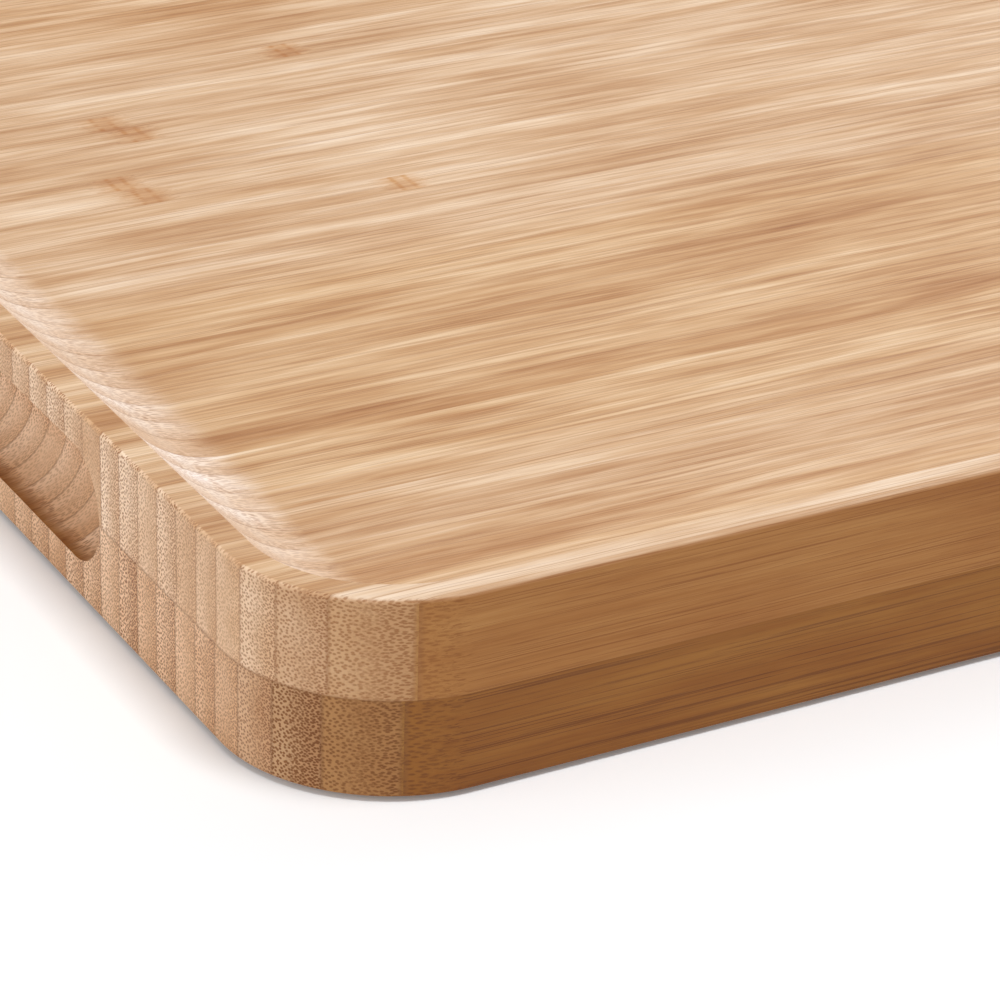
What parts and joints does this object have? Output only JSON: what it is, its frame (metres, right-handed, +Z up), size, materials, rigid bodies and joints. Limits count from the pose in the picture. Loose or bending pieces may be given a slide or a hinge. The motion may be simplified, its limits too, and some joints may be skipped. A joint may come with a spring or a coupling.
{
  "type": "carving board",
  "caption": "Two-layer laminated bamboo carving board with rounded corners, a dished top well with a narrow flat rim, and a finger grip routed into each short end.",
  "frame": {"origin": "centre of the flat base, on the surface that the board lies on", "axes": "+X along the strips and the long sides, +Y across them from the front side to the rear side, +Z up out of the well"},
  "size_m": [0.4, 0.3, 0.035],
  "materials": {
    "upper_bamboo": "oiled carbonised bamboo, honey tan, satin, fine long grain with dotted end grain",
    "lower_bamboo": "oiled carbonised bamboo, a shade darker than the upper layer, satin, fine long grain with dotted end grain"
  },
  "bodies": {
    "root": {"upper_strip_01": "upper_bamboo", "upper_strip_02": "upper_bamboo", "upper_strip_03": "upper_bamboo", "upper_strip_04": "upper_bamboo", "upper_strip_05": "upper_bamboo", "upper_strip_06": "upper_bamboo", "upper_strip_07": "upper_bamboo", "upper_strip_08": "upper_bamboo", "upper_strip_09": "upper_bamboo", "upper_strip_10": "upper_bamboo", "upper_strip_11": "upper_bamboo", "upper_strip_12": "upper_bamboo", "upper_strip_13": "upper_bamboo", "upper_strip_14": "upper_bamboo", "upper_strip_15": "upper_bamboo", "upper_strip_16": "upper_bamboo", "upper_strip_17": "upper_bamboo", "upper_strip_18": "upper_bamboo", "upper_strip_19": "upper_bamboo", "upper_strip_20": "upper_bamboo", "upper_strip_21": "upper_bamboo", "upper_strip_22": "upper_bamboo", "upper_strip_23": "upper_bamboo", "upper_strip_24": "upper_bamboo", "upper_strip_25": "upper_bamboo", "upper_strip_26": "upper_bamboo", "upper_strip_27": "upper_bamboo", "upper_strip_28": "upper_bamboo", "upper_strip_29": "upper_bamboo", "upper_strip_30": "upper_bamboo", "upper_strip_31": "upper_bamboo", "upper_strip_32": "upper_bamboo", "upper_strip_33": "upper_bamboo", "upper_strip_34": "upper_bamboo", "upper_strip_35": "upper_bamboo", "upper_strip_36": "upper_bamboo", "upper_strip_37": "upper_bamboo", "upper_strip_38": "upper_bamboo", "upper_strip_39": "upper_bamboo", "upper_strip_40": "upper_bamboo", "upper_strip_41": "upper_bamboo", "lower_strip_01": "lower_bamboo", "lower_strip_02": "lower_bamboo", "lower_strip_03": "lower_bamboo", "lower_strip_04": "lower_bamboo", "lower_strip_05": "lower_bamboo", "lower_strip_12": "lower_bamboo", "lower_strip_13": "lower_bamboo", "lower_strip_29": "lower_bamboo", "lower_strip_30": "lower_bamboo", "lower_strip_31": "lower_bamboo", "lower_strip_37": "lower_bamboo", "lower_strip_38": "lower_bamboo", "lower_strip_39": "lower_bamboo", "lower_strip_40": "lower_bamboo", "lower_strip_41": "lower_bamboo", "lower_strips_front": "lower_bamboo", "lower_strips_middle": "lower_bamboo", "lower_strips_rear": "lower_bamboo"}
  },
  "joints": []
}
